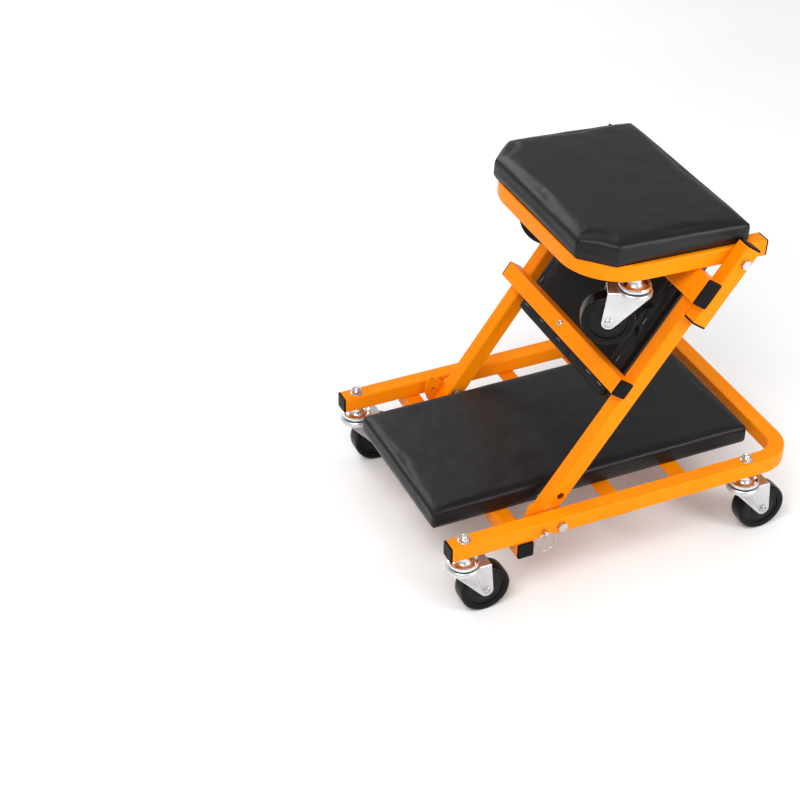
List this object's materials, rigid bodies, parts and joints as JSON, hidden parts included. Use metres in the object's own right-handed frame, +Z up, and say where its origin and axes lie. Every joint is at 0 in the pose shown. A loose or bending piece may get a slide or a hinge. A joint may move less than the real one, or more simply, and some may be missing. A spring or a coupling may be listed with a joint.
{
  "type": "mechanics creeper",
  "caption": "Folding mechanics creeper and seat: padded tube frames hinged in a Z, on swivel casters, with spring-pin locks.",
  "frame": {"origin": "on the floor, midway between the base's two ends and its two sides", "axes": "+X towards the base's closed end, +Y to the left, +Z up; drawn in the seat position"},
  "size_m": [0.566, 0.432, 0.5292],
  "materials": {
    "orange_powder_coat": "gloss powder coat",
    "black_plastic": "moulded, fine satin",
    "plywood": "raw sheet wood",
    "black_vinyl": "fine grained vinyl, soft sheen",
    "zinc_steel": "bright zinc plate",
    "spring_steel": "drawn wire",
    "wheel_plastic": "glossy moulded"
  },
  "bodies": {
    "base": {"base_frame": "orange_powder_coat", "stop_crossbar": "orange_powder_coat", "base_pad_slats": "orange_powder_coat", "base_tube_caps": "black_plastic", "base_pad_board": "plywood", "base_cushion": "black_vinyl", "base_pad_screws": "zinc_steel", "base_caster_races": "zinc_steel", "base_caster_nuts": "zinc_steel", "pivot_bolts": "zinc_steel", "pivot_bushes": "zinc_steel", "pivot_nuts": "zinc_steel", "lock_springs": "spring_steel"},
    "link": {"arm_right": "orange_powder_coat", "arm_left": "orange_powder_coat", "lower_crossbar": "orange_powder_coat", "upper_crossbar": "orange_powder_coat", "hinge_sleeve_right": "orange_powder_coat", "hinge_sleeve_left": "orange_powder_coat", "link_tube_caps": "black_plastic", "upper_crossbar_caps": "black_plastic", "lock_plates": "orange_powder_coat", "link_pad_board": "plywood", "link_cushion": "black_vinyl", "link_pad_screws": "zinc_steel", "link_pad_staples": "spring_steel", "hinge_bolts": "zinc_steel", "hinge_washers": "zinc_steel", "hinge_nuts": "zinc_steel"},
    "seat": {"seat_frame": "orange_powder_coat", "seat_frame_caps": "black_plastic", "seat_pad_slats": "orange_powder_coat", "seat_pad_board": "plywood", "seat_cushion": "black_vinyl", "seat_pad_screws": "zinc_steel", "seat_caster_races": "zinc_steel", "seat_caster_nuts": "zinc_steel"},
    "swivel_mid_right": {"fork_mid_right": "zinc_steel", "axle_mid_right": "zinc_steel"},
    "roller_mid_right": {"wheel_mid_right": "wheel_plastic"},
    "swivel_mid_left": {"fork_mid_left": "zinc_steel", "axle_mid_left": "zinc_steel"},
    "roller_mid_left": {"wheel_mid_left": "wheel_plastic"},
    "swivel_rear_right": {"fork_rear_right": "zinc_steel", "axle_rear_right": "zinc_steel"},
    "roller_rear_right": {"wheel_rear_right": "wheel_plastic"},
    "swivel_rear_left": {"fork_rear_left": "zinc_steel", "axle_rear_left": "zinc_steel"},
    "roller_rear_left": {"wheel_rear_left": "wheel_plastic"},
    "swivel_seat_right": {"fork_seat_right": "zinc_steel", "axle_seat_right": "zinc_steel"},
    "roller_seat_right": {"wheel_seat_right": "wheel_plastic"},
    "swivel_seat_left": {"fork_seat_left": "zinc_steel", "axle_seat_left": "zinc_steel"},
    "roller_seat_left": {"wheel_seat_left": "wheel_plastic"},
    "lock_pin_right": {"lock_pin_right": "zinc_steel"},
    "lock_ring_right": {"lock_ring_right": "spring_steel"},
    "lock_pin_left": {"lock_pin_left": "zinc_steel"},
    "lock_ring_left": {"lock_ring_left": "spring_steel"}
  },
  "joints": [
    {"name": "link_pivot", "type": "hinge", "parent": "base", "child": "link", "pos_m": [-0.1115, 0, 0.1158], "axis": [0, -1, 0], "range_deg": [0, 125.85]},
    {"name": "seat_hinge", "type": "hinge", "parent": "link", "child": "seat", "pos_m": [0.149, 0, 0.47633], "axis": [0, 1, 0], "range_deg": [0, 123.63]},
    {"name": "swivel_mid_right", "type": "hinge", "parent": "base", "child": "swivel_mid_right", "pos_m": [-0.258, -0.1915, 0.103], "axis": [0, 0, 1], "continuous": true},
    {"name": "wheel_mid_right", "type": "hinge", "parent": "swivel_mid_right", "child": "roller_mid_right", "pos_m": [-0.227, -0.1915, 0.038], "axis": [0, 1, 0], "continuous": true},
    {"name": "swivel_mid_left", "type": "hinge", "parent": "base", "child": "swivel_mid_left", "pos_m": [-0.258, 0.1915, 0.103], "axis": [0, 0, 1], "continuous": true},
    {"name": "wheel_mid_left", "type": "hinge", "parent": "swivel_mid_left", "child": "roller_mid_left", "pos_m": [-0.227, 0.1915, 0.038], "axis": [0, 1, 0], "continuous": true},
    {"name": "swivel_rear_right", "type": "hinge", "parent": "base", "child": "swivel_rear_right", "pos_m": [0.1995, -0.1915, 0.103], "axis": [0, 0, 1], "continuous": true},
    {"name": "wheel_rear_right", "type": "hinge", "parent": "swivel_rear_right", "child": "roller_rear_right", "pos_m": [0.2305, -0.1915, 0.038], "axis": [0, 1, 0], "continuous": true},
    {"name": "swivel_rear_left", "type": "hinge", "parent": "base", "child": "swivel_rear_left", "pos_m": [0.1995, 0.1915, 0.103], "axis": [0, 0, 1], "continuous": true},
    {"name": "wheel_rear_left", "type": "hinge", "parent": "swivel_rear_left", "child": "roller_rear_left", "pos_m": [0.2305, 0.1915, 0.038], "axis": [0, 1, 0], "continuous": true},
    {"name": "swivel_seat_right", "type": "hinge", "parent": "seat", "child": "swivel_seat_right", "pos_m": [0.00413, -0.1545, 0.46943], "axis": [0.0387, 0, 0.9993], "continuous": true},
    {"name": "wheel_seat_right", "type": "hinge", "parent": "swivel_seat_right", "child": "roller_seat_right", "pos_m": [-0.02623, -0.14091, 0.40556], "axis": [-0.438, -0.8988, 0.017], "continuous": true},
    {"name": "swivel_seat_left", "type": "hinge", "parent": "seat", "child": "swivel_seat_left", "pos_m": [0.00413, 0.1545, 0.46943], "axis": [0.0387, 0, 0.9993], "continuous": true},
    {"name": "wheel_seat_left", "type": "hinge", "parent": "swivel_seat_left", "child": "roller_seat_left", "pos_m": [0.02111, 0.13041, 0.40373], "axis": [0.7766, 0.6293, -0.0301], "continuous": true},
    {"name": "lock_pin_right", "type": "slide", "parent": "base", "child": "lock_pin_right", "axis": [0, 1, 0], "range_m": [0, 0.006]},
    {"name": "lock_ring_right", "type": "hinge", "parent": "lock_pin_right", "child": "lock_ring_right", "pos_m": [-0.1395, -0.2114, 0.1158], "axis": [-1, 0, 0], "range_deg": [0, 150]},
    {"name": "lock_pin_left", "type": "slide", "parent": "base", "child": "lock_pin_left", "axis": [0, -1, 0], "range_m": [0, 0.006]},
    {"name": "lock_ring_left", "type": "hinge", "parent": "lock_pin_left", "child": "lock_ring_left", "pos_m": [-0.1395, 0.2114, 0.1158], "axis": [1, 0, 0], "range_deg": [0, 150]}
  ]
}
